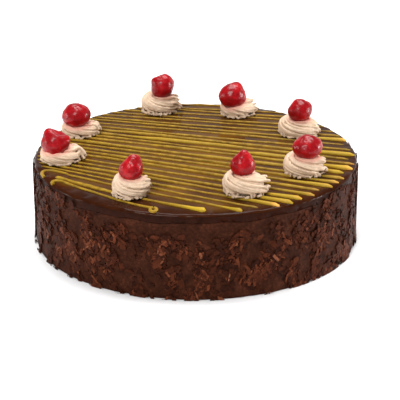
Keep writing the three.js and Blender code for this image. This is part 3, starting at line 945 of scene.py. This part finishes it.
STAIN = 0.55
STAIN_REACH = 2.2
for number, topping in enumerate(TOPPINGS, 1):
    piece = rosette(number, *topping)
    # Syrup from the cherry has soaked into the cream round it.
    middle = cherry_middle(*topping)
    stain = piece.data.color_attributes.new("blush", "FLOAT_COLOR", "POINT")
    radius = topping[3][0] / 2 * MM
    for corner, colour in zip(piece.data.vertices, stain.data):
        away = max(0, (corner.co - middle).length - radius) / MM
        colour.color = (STAIN * math.exp(-((away / STAIN_REACH) ** 2)),) * 3 + (1,)
    hand_over(piece, buttercream, f"rosette_{number}")

# ---- Cherries -----------------------------------------------------------------------------------
# Glazed cherries, stoned and soaked in red syrup until the flesh is half clear. The stone's loss
# lets each one dent, fold and slump in its own way under its sticky skin.

# Where each cherry bulges (+) or is dented (-): the direction's angle and height in degrees, and
# the depth and width of the bulge or dent.
CHERRY_FORMS = [
    [(185, -10, 1.1, 9), (25, 55, 1.9, 8), (165, 45, -1.2, 8), (265, 10, -0.5, 6)],
    [(150, 40, -1.0, 6), (200, -5, 1.1, 9), (290, 30, -0.6, 6), (0, -10, 1.2, 9)],
    [(190, 10, 0.8, 9), (340, 35, 0.9, 9), (335, 10, 0.5, 7), (0, 85, 0.8, 8)],
    [(10, 15, 1.0, 9), (150, 50, -0.5, 7), (190, 0, 0.7, 8), (0, 85, 0.8, 8)],
    [(40, 65, 1.8, 9), (200, -10, 1.0, 9), (150, 60, -0.6, 7), (5, 5, 1.4, 9)],
    [(165, 58, -2.4, 5), (190, 20, 1.6, 7), (30, 40, 1.0, 8), (300, 0, 0.8, 7)],
    [(20, 45, -0.8, 8), (180, 0, 0.6, 9), (200, 60, 0.9, 8)],
    [(350, -2, 2.0, 7), (5, 48, -3.6, 8), (172, 68, 2.3, 8), (185, 15, 1.1, 8)],
]
DRAWN_IN = 0.42  # how much narrower the top is on a cherry drawn fully to a point


def direction_of(angle, height):
    """The direction at an angle in plan and a height, both in degrees."""
    a, h = math.radians(angle), math.radians(height)
    return Vector((math.cos(h) * math.cos(a), math.cos(h) * math.sin(a), math.sin(h)))


def pick_corner(piece, direction):
    """In edit mode, selects the corner that lies nearest a direction from the middle."""
    form = bmesh.from_edit_mesh(piece.data)
    best = max(form.verts, key=lambda corner: corner.co.normalized().dot(direction)).index
    pick(piece, "VERT", lambda corner: corner.index == best)


def cherry_piece(number, angle, ring, cream, cherry):
    """One cherry: a ball drawn out at the top, pulled and dented, then wrinkled."""
    width, tall, drawn, _, _, lean, to = cherry
    piece = start(
        f"glazed_cherry_{number}",
        bpy.ops.mesh.primitive_uv_sphere_add,
        segments=24,
        ring_count=16,
        radius=0.5 * MM,
    )
    for corner in piece.data.vertices:
        up = corner.co.z / MM + 0.5
        slim = 1 - DRAWN_IN * drawn * up * up
        corner.co.x *= slim * width
        corner.co.y *= slim * width
        corner.co.z *= tall
    bpy.ops.object.mode_set(mode="EDIT")
    for at, high, depth, spread in CHERRY_FORMS[number - 1]:
        direction = direction_of(at, high)
        pick_corner(piece, direction)
        bpy.ops.transform.translate(
            value=direction * depth * MM,
            use_proportional_edit=True,
            proportional_edit_falloff="SMOOTH",
            proportional_size=spread * MM,
        )
    bpy.ops.object.mode_set(mode="OBJECT")
    smooth = piece.modifiers.new("smooth", "SUBSURF")
    smooth.levels = smooth.render_levels = 2
    lumps(piece, f"slump_{number}", 7, 1.1).mid_level = 0.62
    lumps(piece, f"wrinkles_{number}", 2.4, 0.42)
    close_up(piece)
    axis = Vector((-math.sin(math.radians(to)), math.cos(math.radians(to)), 0))
    place = Matrix.Translation(cherry_middle(angle, ring, cream, cherry))
    piece.matrix_world = place @ Matrix.Rotation(math.radians(lean), 4, axis)
    bpy.ops.object.transform_apply(location=True, rotation=True, scale=True)
    return piece


candied, tree, shader = food_material(
    "candied_cherry", (0.5, 0.006, 0.012), Roughness=0.3, Specular_IOR_Level=0.2,
    Coat_Weight=0.1, Coat_Roughness=0.1, Subsurface_Weight=0.1, Subsurface_Scale=0.002,
)
shader.inputs["Subsurface Radius"].default_value = (1.0, 0.12, 0.1)
flesh = uneven(tree, 130, 700, 0.3)
stops = [
    (0.0, (0.15, 0.001, 0.003)),
    (0.6, (0.27, 0.002, 0.005)),
    (1.0, (0.45, 0.008, 0.012)),
]
tree.links.new(colour_ramp(tree, flesh.outputs["Mask"], stops), shader.inputs["Base Color"])
bump(tree, shader, flesh.outputs["Height"], 0.35)
for number, topping in enumerate(TOPPINGS, 1):
    hand_over(cherry_piece(number, *topping), candied, f"cherry_{number}")

# ---- Studio -------------------------------------------------------------------------------------
# A plain white table and room, a large softbox at the front left and one overhead, a low one at
# each side, and a camera that looks down on the cake from a little over a metre away.

ROOM_LIGHT = 0.16
SCREEN_LIGHT = 0.75
SCREEN_SIDES = (0.3, 0.8)  # how far round it starts, and where it is fully bright
SCREEN_TOP = (0.4, 0.345)  # the sines of the heights where it ends and is fully bright
VIEW_LENS = 141.9
VIEW_HEIGHT = 23.08  # degrees above the table
VIEW_DISTANCE = 1.25
VIEW_RISE, VIEW_SWING = 1.16, -0.17  # degrees that the camera points above and beside the axis

floor = start("table_top", bpy.ops.mesh.primitive_plane_add, size=14)
bpy.ops.object.mode_set(mode="EDIT")
bpy.ops.mesh.subdivide(number_cuts=3)
bpy.ops.object.mode_set(mode="OBJECT")
white, _, _ = food_material("white_table", (0.9, 0.9, 0.9), Roughness=0.7)
floor.data.materials.append(white)

world = bpy.data.worlds.new("white_room")
bpy.context.scene.world = world
world.use_nodes = True
tree = world.node_tree
# The room is white to the camera. The cake sees a dim room with a low bright screen behind it,
# which gives its far rim a sheen.
way = tree.nodes.new("ShaderNodeTexCoord")
parts = tree.nodes.new("ShaderNodeSeparateXYZ")
tree.links.new(way.outputs["Generated"], parts.inputs["Vector"])
screen = tree.nodes.new("ShaderNodeMath")
screen.operation = "MULTIPLY"
for number, (axis, (ends, bright)) in enumerate((("Y", SCREEN_SIDES), ("Z", SCREEN_TOP))):
    edge = tree.nodes.new("ShaderNodeMapRange")
    edge.interpolation_type = "SMOOTHSTEP"
    edge.inputs["From Min"].default_value = ends
    edge.inputs["From Max"].default_value = bright
    tree.links.new(parts.outputs[axis], edge.inputs["Value"])
    tree.links.new(edge.outputs["Result"], screen.inputs[number])
wall = tree.nodes.new("ShaderNodeMapRange")
wall.inputs["To Min"].default_value = ROOM_LIGHT
wall.inputs["To Max"].default_value = SCREEN_LIGHT
tree.links.new(screen.outputs["Value"], wall.inputs["Value"])
seen = tree.nodes.new("ShaderNodeLightPath")
either = tree.nodes.new("ShaderNodeMix")
tree.links.new(seen.outputs["Is Camera Ray"], either.inputs["Factor"])
tree.links.new(wall.outputs["Result"], either.inputs["A"])
either.inputs["B"].default_value = 1.0
tree.links.new(either.outputs["Result"], tree.nodes["Background"].inputs["Strength"])
tree.nodes["Background"].inputs["Color"].default_value = (1, 1, 1, 1)


def softbox(name, place, size, power):
    """An area light that faces the cake."""
    light = bpy.data.lights.new(name, "AREA")
    light.shape = "RECTANGLE"
    light.size, light.size_y = size
    light.energy = power
    lamp = bpy.data.objects.new(name, light)
    bpy.context.collection.objects.link(lamp)
    lamp.location = place
    to_cake = Vector((0, 0, 0.05)) - Vector(place)
    lamp.rotation_euler = to_cake.to_track_quat("-Z", "Y").to_euler()


softbox("key_softbox", (-0.65, -1.4, 1.35), (0.9, 0.9), 34)
softbox("right_softbox", (1.5, -0.05, 0.24), (0.4, 0.34), 18)
softbox("left_softbox", (-1.5, 0.05, 0.24), (0.5, 0.34), 5)
softbox("top_softbox", (0.1, 0.4, 1.8), (1.4, 1.0), 50)

view = bpy.data.cameras.new("view")
view.sensor_width = 36
view.lens = VIEW_LENS
view.clip_start = 0.05
viewer = bpy.data.objects.new("viewer", view)
bpy.context.collection.objects.link(viewer)
height = math.radians(VIEW_HEIGHT)
viewer.location = (0, -VIEW_DISTANCE * math.cos(height), VIEW_DISTANCE * math.sin(height))
aim = Matrix.Rotation(math.radians(90) - height, 3, "X")
aim = Matrix.Rotation(math.radians(VIEW_SWING), 3, "Z") @ aim
aim = aim @ Matrix.Rotation(math.radians(VIEW_RISE), 3, "X")
viewer.rotation_euler = aim.to_euler()
bpy.context.scene.camera = viewer
bpy.context.scene.view_settings.view_transform = "Standard"
